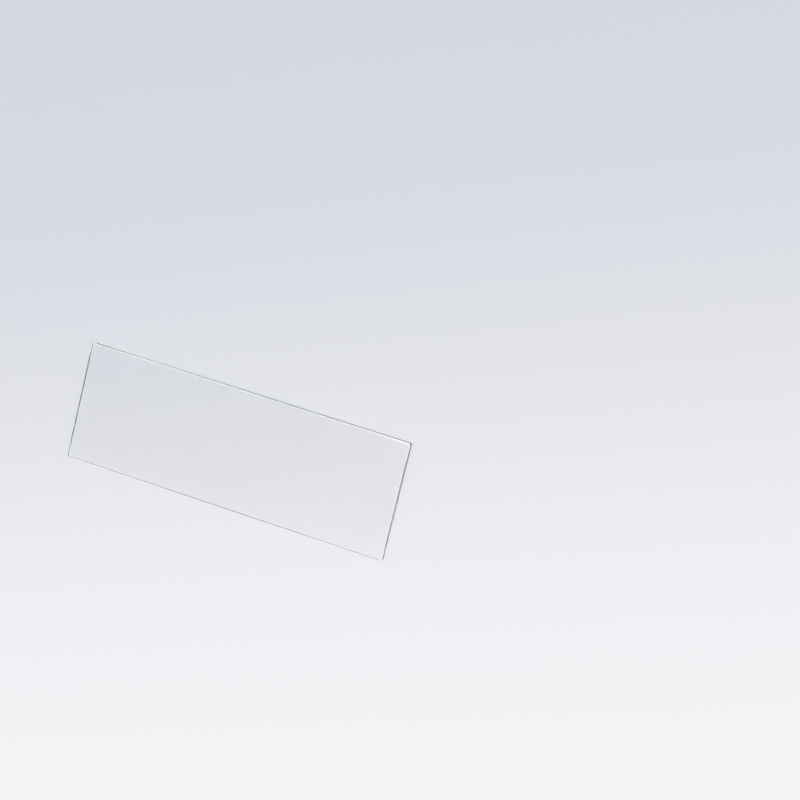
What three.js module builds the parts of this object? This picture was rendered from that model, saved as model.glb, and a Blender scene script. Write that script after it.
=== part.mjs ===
// A microscope slide: one flat plate of clear glass, 76 by 26 mm and 1 mm thick.
// Its two large faces are polished and its edges are cut square and smooth. The four
// corners are slightly rounded, and a fine arris, a narrow flat at 45 degrees, runs all
// round both faces to take the sharpness off the cut.
//
// Millimetres, +Z up. The slide lies flat, and the origin is the middle of its underside.
// +X runs along its length and +Y across it.

import * as THREE from "three";

// Driving dimensions
const LENGTH = 76;
const WIDTH = 26;
const THICKNESS = 1;
const CORNER_RADIUS = 0.5; // on the full outline, seen from above
const ARRIS = 0.1; // each leg of the flat at 45 degrees

// Finish
const GLASS_COLOUR = 0xe4eaec;
const GLASS_OPACITY = 0.35;
const POLISH_ROUGHNESS = 0.03;

// A corner's quarter circle is drawn in twice as many straight steps as its curve segments.
const CORNER_CURVE_SEGMENTS = 3;
const QUARTER_TURN = Math.PI / 2;

// The full outline, counter-clockwise from the right end's upper corner.
function slideOutline() {
  const centreX = LENGTH / 2 - CORNER_RADIUS;
  const centreY = WIDTH / 2 - CORNER_RADIUS;
  const cornerCentres = [
    [centreX, centreY],
    [-centreX, centreY],
    [-centreX, -centreY],
    [centreX, -centreY],
  ];
  const outline = new THREE.Shape();
  cornerCentres.forEach(([x, y], corner) => {
    const from = corner * QUARTER_TURN;
    outline.absarc(x, y, CORNER_RADIUS, from, from + QUARTER_TURN);
  });
  outline.closePath();
  return outline;
}

// The plate: the outline between the two rows of arrises, which draw both faces in by one leg.
function slideGeometry() {
  const plate = new THREE.ExtrudeGeometry(slideOutline(), {
    depth: THICKNESS - 2 * ARRIS,
    bevelThickness: ARRIS,
    bevelSize: ARRIS,
    bevelOffset: -ARRIS,
    bevelSegments: 1,
    curveSegments: CORNER_CURVE_SEGMENTS,
  });
  return plate.translate(0, 0, ARRIS);
}

function glassMaterial() {
  return new THREE.MeshStandardMaterial({
    color: GLASS_COLOUR,
    roughness: POLISH_ROUGHNESS,
    metalness: 0,
    transparent: true,
    opacity: GLASS_OPACITY,
  });
}

const glassSlide = new THREE.Mesh(slideGeometry(), glassMaterial());
glassSlide.name = "glass_slide";

const microscopeSlide = new THREE.Group();
microscopeSlide.add(glassSlide);

export default microscopeSlide;
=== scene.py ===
"""A clear glass microscope slide lying on a pale table under soft studio light."""

import math

import bmesh
import bpy
from mathutils import Matrix, Vector, noise


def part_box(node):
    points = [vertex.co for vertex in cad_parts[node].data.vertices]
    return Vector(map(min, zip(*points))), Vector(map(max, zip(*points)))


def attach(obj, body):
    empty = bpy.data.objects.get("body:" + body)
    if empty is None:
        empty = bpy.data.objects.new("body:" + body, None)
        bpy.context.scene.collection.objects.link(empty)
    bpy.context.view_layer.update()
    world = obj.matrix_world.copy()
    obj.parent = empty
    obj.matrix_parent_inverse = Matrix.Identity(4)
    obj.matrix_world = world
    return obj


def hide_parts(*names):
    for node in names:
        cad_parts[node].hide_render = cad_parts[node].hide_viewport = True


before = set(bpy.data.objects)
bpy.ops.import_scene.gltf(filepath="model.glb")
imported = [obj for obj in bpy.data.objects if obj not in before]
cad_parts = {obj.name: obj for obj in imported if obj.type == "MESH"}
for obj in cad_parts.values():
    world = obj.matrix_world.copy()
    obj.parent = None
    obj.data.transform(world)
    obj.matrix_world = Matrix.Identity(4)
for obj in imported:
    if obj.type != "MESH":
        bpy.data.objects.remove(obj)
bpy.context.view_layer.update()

# Lengths are in metres and angles in degrees. Azimuths count from +X towards +Y.
MM = 0.001

# The plate, from the frame
LOWEST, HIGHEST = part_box("glass_slide")
LENGTH, WIDTH, THICKNESS = HIGHEST - LOWEST

# Its cut edges and arrises
CORNER_RADIUS = 0.5 * MM
ARRIS = 0.1 * MM  # how far each arris reaches in from the edge and from the face
ARRIS_WANDER = 0.05  # how much an arris's width varies, as a share of it
WANDER_LENGTH = 4 * MM
CUT_RIPPLE = 0.0015 * MM  # how deep the ripples of the cut glass are
RIPPLE_LENGTH = 1.5 * MM
RIPPLE_CROWDING = 2  # how much closer the ripples lie up the edge than along it
SHARP_ANGLE = 30  # creases steeper than this stay sharp

# The plate's mesh
EDGE_STEP = 0.5 * MM
CORNER_STEPS = 10
CUT_ROWS = 5

# Its glass
GLASS_INDEX = 1.52
GLASS_TINT = (0.0, 0.0, 0.08)
GLASS_DENSITY = 3.0  # what a metre of it takes, as a power of e

# The grain of its cut edges and arrises. A pair runs from where the grain is least to where it is most.
HACKLE_SCALE = 9000  # ticks to a metre, on the cut edges
HACKLE_DETAIL = 3
HACKLE_STRETCH = (1, 1, 0.12)  # makes the ticks run up the edge
GRIT_SCALE = 30000  # grains to a metre, on the arrises
GRIT_DETAIL = 2
RELIEF_DEPTH = 0.002 * MM
RELIEF_STRENGTH = 0.15
CUT_ROUGHNESS = (0.02, 0.08)
ARRIS_ROUGHNESS = (0.08, 0.18)

# The matt share of its edges, which is mixed with the clear glass. It is partly a ground finish and
# partly painted shade: its grey darkens the edge lines, the left end more than the right.
MATT_AND_SHADE_COLOUR = (0.42, 0.42, 0.48)
MATT_ROUGHNESS = 0.6
MATT_AND_SHADE_LEFT = 0.6  # the left end, short of its corners
MATT_AND_SHADE_RIGHT = 0.36  # the right end, short of its corners
MATT_AND_SHADE_LONG = 0.2  # the two long edges, at mid-length
MATT_VARIATION = (0.6, 1.4)  # what the grain multiplies the share by
END_FADE = (1.5 * MM, 5 * MM)  # how far from a corner an end begins to turn matt, and is fully so
LONG_FADE = (0, LENGTH / 2)  # the same for a long edge

# The way that the surface faces tells its places apart. How much that way leans on Z is 0 on a cut
# edge, 0.7 on an arris and 1 on a face.
EDGE_TO_ARRIS = (0.2, 0.4)
ARRIS_TO_FACE = (0.85, 0.95)
LONG_TO_END = (-0.4, 0.4)  # how much it leans on X, less how much it leans on Y
RIGHT_TO_LEFT = (0.1, -0.1)  # its X

# The camera stands over the rear right corner, turned so that the slide runs down to the right
CAMERA_AZIMUTH = 31.2
CAMERA_ELEVATION = 68.96
CAMERA_DISTANCE = 520 * MM
AIM = Vector((33.1 * MM, 20.95 * MM, 0))  # the place on the table that it looks at
UPRIGHT_AZIMUTH = 104.55  # the way over the table that it shows upright
LENS = 112.5  # in millimetres
NEAREST_SEEN = 10 * MM

# The table, whose pale cool colour fades darker from its near side to its far side. The fade is painted
# shade, standing in for light that falls off towards the far side.
AIR_GAP = 0.02 * MM  # between the table and the plate
TABLE_SIZE = 6.0
TABLE_ROUGHNESS = 0.9
SHADE_FADE_AZIMUTH = 111.5
SHADE_FADE_FROM = -75 * MM
SHADE_FADE_LENGTH = 160 * MM
CARD_AND_SHADE_COLOURS = (  # each with its share of the way
    (0.0, (0.922, 0.924, 0.941)),
    (0.4, (0.834, 0.842, 0.880)),
    (0.7, (0.722, 0.742, 0.794)),
    (1.0, (0.678, 0.701, 0.753)),
)

# The studio. Sky and key together light the table so that a colour shows as it is written.
SKY_LIGHT = 0.4
KEY_LIGHT = 0.6
KEY_AZIMUTH = 12
KEY_ELEVATION = 82
KEY_REACH = 24  # how far from its middle the key has faded out
WALL_SHADE = 0.82
CEILING_SHADE = 0.03
WINDOW_SHADE = 0.6
WALL_TO_CEILING = (0.3, 0.8)  # where the one fades into the other, as sines of the elevation
CEILING_TO_WINDOW = (0.92, 0.98)

# How light is followed
LIGHT_BOUNCES = 64
CRISP_FILTER = 1.0  # narrow enough to keep the thin edge lines sharp


def direction(azimuth, elevation):
    """The unit vector at an azimuth and an elevation."""
    turn = math.radians(azimuth)
    tilt = math.radians(elevation)
    level = math.cos(tilt)
    return Vector((level * math.cos(turn), level * math.sin(turn), math.sin(tilt)))


# ---------------------------------------------------------------- shader trees


class Wire:
    """One output of a node. Arithmetic on it adds Math nodes to its tree."""

    def __init__(self, tree, socket):
        self.tree = tree
        self.socket = socket

    def math(self, operation, first, second=0.0):
        made = self.tree.node("Math", {"operation": operation}, {0: first, 1: second})
        return made["Value"]

    def __add__(self, other):
        return self.math("ADD", self, other)

    def __radd__(self, other):
        return self.math("ADD", other, self)

    def __sub__(self, other):
        return self.math("SUBTRACT", self, other)

    def __rsub__(self, other):
        return self.math("SUBTRACT", other, self)

    def __mul__(self, other):
        return self.math("MULTIPLY", self, other)

    def __rmul__(self, other):
        return self.math("MULTIPLY", other, self)

    def __abs__(self):
        return self.math("ABSOLUTE", self)

    def at_least(self, other):
        return self.math("MAXIMUM", self, other)

    def between(self, start, end):
        """The start where this is 0, the end where it is 1, and evenly between them."""
        return start + (end - start) * self

    def ramp(self, zero_at, one_at):
        """A smooth rise from 0 at the one value to 1 at the other, and level beyond them."""
        settings = {"interpolation_type": "SMOOTHSTEP"}
        sockets = {"Value": self, "From Min": zero_at, "From Max": one_at}
        return self.tree.node("MapRange", settings, sockets)["Result"]


class Tree:
    """The node tree of a material or of the world, started afresh."""

    def __init__(self, owner):
        owner.use_nodes = True
        self.nodes = owner.node_tree.nodes
        self.links = owner.node_tree.links
        self.nodes.clear()

    def node(self, kind, settings=None, sockets=None):
        """Adds a node, makes its settings, then fills its sockets. Returns its outputs."""
        made = self.nodes.new("ShaderNode" + kind)
        for name, value in (settings or {}).items():
            if name == "stops":
                self.place_stops(made.color_ramp, value)
            else:
                setattr(made, name, value)
        for name, value in (sockets or {}).items():
            if isinstance(value, Wire):
                self.links.new(value.socket, made.inputs[name])
            else:
                made.inputs[name].default_value = value
        return {out.name: Wire(self, out) for out in made.outputs if out.enabled}

    def place_stops(self, ramp, stops):
        """Fills a colour ramp with (position, colour) pairs, which come in order, and a smooth
        curve through them."""
        ramp.interpolation = "CARDINAL"
        for _ in stops[2:]:
            ramp.elements.new(1)
        for element, (position, colour) in zip(ramp.elements, stops):
            element.position = position
            element.color = (*colour, 1)


# ---------------------------------------------------------------- materials


class Cuts:
    """Where a point of the plate's surface lies, as masks from 0 to 1, and how grainy it is there."""

    def __init__(self, tree):
        self.place = tree.node("TexCoord")["Object"]
        true_normal = tree.node("NewGeometry")["True Normal"]
        self.facing = tree.node("SeparateXYZ", None, {"Vector": true_normal})
        lean = abs(self.facing["Z"])
        face = lean.ramp(*ARRIS_TO_FACE)
        self.edge = 1 - lean.ramp(*EDGE_TO_ARRIS)
        self.arris = 1 - face - self.edge
        self.hackle, self.grit = self.grain(tree)

    def grain(self, tree):
        """The ticks of the cut edges and the grains of the arrises."""
        sockets = {0: self.place, 1: HACKLE_STRETCH}
        upright = tree.node("VectorMath", {"operation": "MULTIPLY"}, sockets)["Vector"]
        sockets = {"Vector": upright, "Scale": HACKLE_SCALE, "Detail": HACKLE_DETAIL}
        hackle = tree.node("TexNoise", None, sockets)["Fac"]
        sockets = {"Vector": self.place, "Scale": GRIT_SCALE, "Detail": GRIT_DETAIL}
        grit = tree.node("TexNoise", None, sockets)["Fac"]
        return hackle, grit

    def blend(self, on_edge, on_arris):
        """The one value on the cut edges, the other on the arrises, and 0 on the faces."""
        return self.edge * on_edge + self.arris * on_arris


def matt_and_shade_share(tree, cuts):
    """How much of the surface is matt grey, partly ground finish and partly painted shade on the edge
    lines: most on the ends, and none at the corners and on the faces.
    """
    spot = tree.node("SeparateXYZ", None, {"Vector": cuts.place})
    from_corner = (LENGTH + WIDTH) / 2 - abs(spot["X"]) - abs(spot["Y"])  # along an edge
    left = cuts.facing["X"].ramp(*RIGHT_TO_LEFT)
    on_end = left.between(MATT_AND_SHADE_RIGHT, MATT_AND_SHADE_LEFT) * from_corner.ramp(*END_FADE)
    on_long = MATT_AND_SHADE_LONG * from_corner.ramp(*LONG_FADE)
    end = (abs(cuts.facing["X"]) - abs(cuts.facing["Y"])).ramp(*LONG_TO_END)
    share = end * on_end + (1 - end) * on_long
    return share * cuts.blend(cuts.hackle.between(*MATT_VARIATION), cuts.grit.between(*MATT_VARIATION))


def clear_glass():
    """Polished on the two faces, and finely grained and in part matt on its cut edges and arrises. The
    matt grey is partly ground finish and partly painted shade on the edge lines.
    """
    material = bpy.data.materials.new("clear_glass")
    tree = Tree(material)
    cuts = Cuts(tree)
    relief = cuts.blend(cuts.hackle, cuts.grit)
    sockets = {"Strength": RELIEF_STRENGTH, "Distance": RELIEF_DEPTH, "Height": relief}
    normal = tree.node("Bump", None, sockets)["Normal"]

    sockets = {
        "Base Color": (1, 1, 1, 1),
        "Roughness": cuts.blend(cuts.hackle.between(*CUT_ROUGHNESS), cuts.grit.between(*ARRIS_ROUGHNESS)),
        "IOR": GLASS_INDEX,
        "Transmission Weight": 1.0,
        "Normal": normal,
    }
    clear = tree.node("BsdfPrincipled", None, sockets)["BSDF"]
    # The matt grey, partly ground finish and partly painted shade that darkens the edge lines
    sockets = {"Base Color": (*MATT_AND_SHADE_COLOUR, 1), "Roughness": MATT_ROUGHNESS, "Normal": normal}
    matt_and_shade = tree.node("BsdfPrincipled", None, sockets)["BSDF"]
    sockets = {0: matt_and_shade_share(tree, cuts), 1: clear, 2: matt_and_shade}
    surface = tree.node("MixShader", None, sockets)["Shader"]

    sockets = {"Color": (*GLASS_TINT, 1), "Density": GLASS_DENSITY}
    inside = tree.node("VolumeAbsorption", None, sockets)["Volume"]
    tree.node("OutputMaterial", None, {"Surface": surface, "Volume": inside})
    return material


def table_top():
    """Matt pale card, with painted shade that makes it a little darker towards the far side."""
    material = bpy.data.materials.new("table_top")
    tree = Tree(material)
    place = tree.node("TexCoord")["Object"]
    sockets = {0: place, 1: direction(SHADE_FADE_AZIMUTH, 0)}
    along = tree.node("VectorMath", {"operation": "DOT_PRODUCT"}, sockets)["Value"]
    share = (along - SHADE_FADE_FROM) * (1 / SHADE_FADE_LENGTH)
    # The card's own pale cool colour, with painted shade darkening it towards the far side
    colour = tree.node("ValToRGB", {"stops": CARD_AND_SHADE_COLOURS}, {"Fac": share})["Color"]
    sockets = {"Base Color": colour, "Roughness": TABLE_ROUGHNESS, "Specular IOR Level": 0.0}
    shader = tree.node("BsdfPrincipled", None, sockets)["BSDF"]
    tree.node("OutputMaterial", None, {"Surface": shader})
    return material


# ---------------------------------------------------------------- the plate


class Outline:
    """Stations round the plate. Each is a point of the grid that fills the faces, and the way out
    from it. The grid spans the centres of the four corner arcs."""

    def __init__(self):
        self.half_x = LENGTH / 2 - CORNER_RADIUS
        self.half_y = WIDTH / 2 - CORNER_RADIUS
        self.columns = round(2 * self.half_x / EDGE_STEP)
        self.rows = round(2 * self.half_y / EDGE_STEP)
        self.stations = list(self.walk())

    def walk(self):
        """Anticlockwise, from the +X side of the rear right corner."""
        corners = [(self.columns, self.rows), (0, self.rows), (0, 0), (self.columns, 0)]
        for quarter, (column, row) in enumerate(corners):
            next_column, next_row = corners[(quarter + 1) % 4]
            for step in range(CORNER_STEPS):
                yield column, row, direction(90 * (quarter + step / CORNER_STEPS), 0)
            steps = abs(next_column - column) + abs(next_row - row)
            way_out = direction(90 * (quarter + 1), 0)
            for step in range(steps):
                share = step / steps
                at_column = round(column + (next_column - column) * share)
                at_row = round(row + (next_row - row) * share)
                yield at_column, at_row, way_out

    def grid_point(self, column, row, height):
        x = self.half_x * (2 * column / self.columns - 1)
        y = self.half_y * (2 * row / self.rows - 1)
        return Vector((x, y, height))


def edge_section(place):
    """(inset, height) pairs from the underside to the upper face, where the outline is at place."""
    wander = ARRIS_WANDER * noise.noise(place / WANDER_LENGTH)
    lower = ARRIS * (1 + wander)
    upper = ARRIS * (1 - wander)
    section = [(lower, 0)]
    for row in range(CUT_ROWS + 1):
        height = lower + (THICKNESS - lower - upper) * row / CUT_ROWS
        at = Vector((place.x, place.y, height * RIPPLE_CROWDING)) / RIPPLE_LENGTH
        ripple = (1 + noise.noise(at)) / 2
        fade = math.sin(math.pi * row / CUT_ROWS)
        section.append((CUT_RIPPLE * ripple * fade, height))
    section.append((upper, THICKNESS))
    return section


def build_edge(mesh, outline):
    """The cut edge and both its arrises. Returns its columns of vertices, one for each station."""
    columns = []
    for column, row, way_out in outline.stations:
        anchor = outline.grid_point(column, row, 0)
        section = edge_section(anchor + way_out * CORNER_RADIUS)
        points = [
            anchor + way_out * (CORNER_RADIUS - inset) + Vector((0, 0, height))
            for inset, height in section
        ]
        columns.append([mesh.verts.new(point) for point in points])
    for here, there in zip(columns, columns[1:] + columns[:1]):
        for low in range(len(here) - 1):
            mesh.faces.new((here[low], there[low], there[low + 1], here[low + 1]))
    return columns


def face_grid(mesh, outline, height):
    """The grid of one polished face, as rows of vertices."""
    return [
        [mesh.verts.new(outline.grid_point(column, row, height)) for column in range(outline.columns + 1)]
        for row in range(outline.rows + 1)
    ]


def face_facets(outline, grid, rim):
    """The vertices of each facet of a face that looks up: the squares of its grid, then the band
    from the grid out to the rim."""
    for low, high in zip(grid, grid[1:]):
        for column in range(outline.columns):
            yield low[column], low[column + 1], high[column + 1], high[column]
    border = [grid[row][column] for column, row, _ in outline.stations]
    nexts = zip(border[1:] + border[:1], rim[1:] + rim[:1])
    for inner, outer, (next_inner, next_outer) in zip(border, rim, nexts):
        if next_inner is inner:
            yield inner, outer, next_outer
        else:
            yield inner, outer, next_outer, next_inner


def build_face(mesh, outline, rim, height, looks_up):
    """A polished face inside a rim of vertices."""
    grid = face_grid(mesh, outline, height)
    for facet in face_facets(outline, grid, rim):
        mesh.faces.new(facet if looks_up else reversed(facet))


def build_plate():
    mesh = bmesh.new()
    outline = Outline()
    columns = build_edge(mesh, outline)
    build_face(mesh, outline, [column[0] for column in columns], 0, looks_up=False)
    build_face(mesh, outline, [column[-1] for column in columns], THICKNESS, looks_up=True)
    data = bpy.data.meshes.new("slide_plate")
    mesh.to_mesh(data)
    mesh.free()
    data.shade_smooth()
    data.set_sharp_from_angle(angle=math.radians(SHARP_ANGLE))
    data.materials.append(clear_glass())
    plate = bpy.data.objects.new("slide_plate", data)
    bpy.context.collection.objects.link(plate)
    return plate


# ---------------------------------------------------------------- the stage


def lay_table():
    half = TABLE_SIZE / 2
    corners = [(-half, -half), (half, -half), (half, half), (-half, half)]
    data = bpy.data.meshes.new("table")
    data.from_pydata([(x, y, -AIR_GAP) for x, y in corners], [], [(0, 1, 2, 3)])
    data.materials.append(table_top())
    table = bpy.data.objects.new("table", data)
    bpy.context.collection.objects.link(table)


def key_glow(tree, gaze):
    """The key's light, by the way of the gaze. Its strength makes up for its reach and its tilt, so
    that a level surface gets the key light in full."""
    toward = direction(KEY_AZIMUTH, KEY_ELEVATION)
    closeness = tree.node("VectorMath", {"operation": "DOT_PRODUCT"}, {0: gaze, 1: toward})["Value"]
    rim = math.cos(math.radians(KEY_REACH))
    return KEY_LIGHT / ((1 - rim) * toward.z) * closeness.ramp(rim, 1)


def room_shade(tree, gaze):
    """The studio as it is seen: pale walls, and a dark ceiling with a window in its middle."""
    upwards = tree.node("SeparateXYZ", None, {"Vector": gaze})["Z"]
    walls_and_ceiling = upwards.ramp(*WALL_TO_CEILING).between(WALL_SHADE, CEILING_SHADE)
    return walls_and_ceiling + (WINDOW_SHADE - CEILING_SHADE) * upwards.ramp(*CEILING_TO_WINDOW)


def seen_directly(tree):
    """1 for what the camera sees, also in and through glass, and 0 for what lights a matt surface."""
    path = tree.node("LightPath")
    in_glass = path["Is Glossy Ray"].at_least(path["Is Transmission Ray"])
    never_scattered = (1 - path["Diffuse Depth"]).at_least(0)
    return path["Is Camera Ray"].at_least(in_glass * never_scattered)


def light_studio():
    """Even light and a soft key on everything, and a room for the camera and the glass to see."""
    world = bpy.data.worlds.new("studio")
    bpy.context.scene.world = world
    tree = Tree(world)
    gaze = tree.node("TexCoord")["Generated"]
    light = SKY_LIGHT + key_glow(tree, gaze)
    strength = seen_directly(tree).between(light, room_shade(tree, gaze))
    shader = tree.node("Background", None, {"Color": (1, 1, 1, 1), "Strength": strength})
    tree.node("OutputWorld", None, {"Surface": shader["Background"]})


def stand_camera():
    data = bpy.data.cameras.new("camera")
    data.lens = LENS
    data.clip_start = NEAREST_SEEN
    camera = bpy.data.objects.new("camera", data)
    bpy.context.collection.objects.link(camera)
    back = direction(CAMERA_AZIMUTH, CAMERA_ELEVATION)
    right = direction(UPRIGHT_AZIMUTH, 0).cross(back).normalized()
    turn = Matrix((right, back.cross(right), back)).transposed()
    camera.matrix_world = Matrix.LocRotScale(AIM + back * CAMERA_DISTANCE, turn, None)
    bpy.context.scene.camera = camera


def follow_light_through_glass():
    """Light that runs inside the plate from edge to edge meets its faces many times, and is neither
    blurred nor clamped on its way."""
    cycles = bpy.context.scene.cycles
    cycles.max_bounces = LIGHT_BOUNCES
    cycles.glossy_bounces = LIGHT_BOUNCES
    cycles.transmission_bounces = LIGHT_BOUNCES
    cycles.blur_glossy = 0
    cycles.sample_clamp_indirect = 0
    cycles.filter_width = CRISP_FILTER


bpy.context.scene.view_settings.view_transform = "Standard"
follow_light_through_glass()
lay_table()
light_studio()
stand_camera()

plate = build_plate()
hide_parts("glass_slide")
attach(plate, "root")
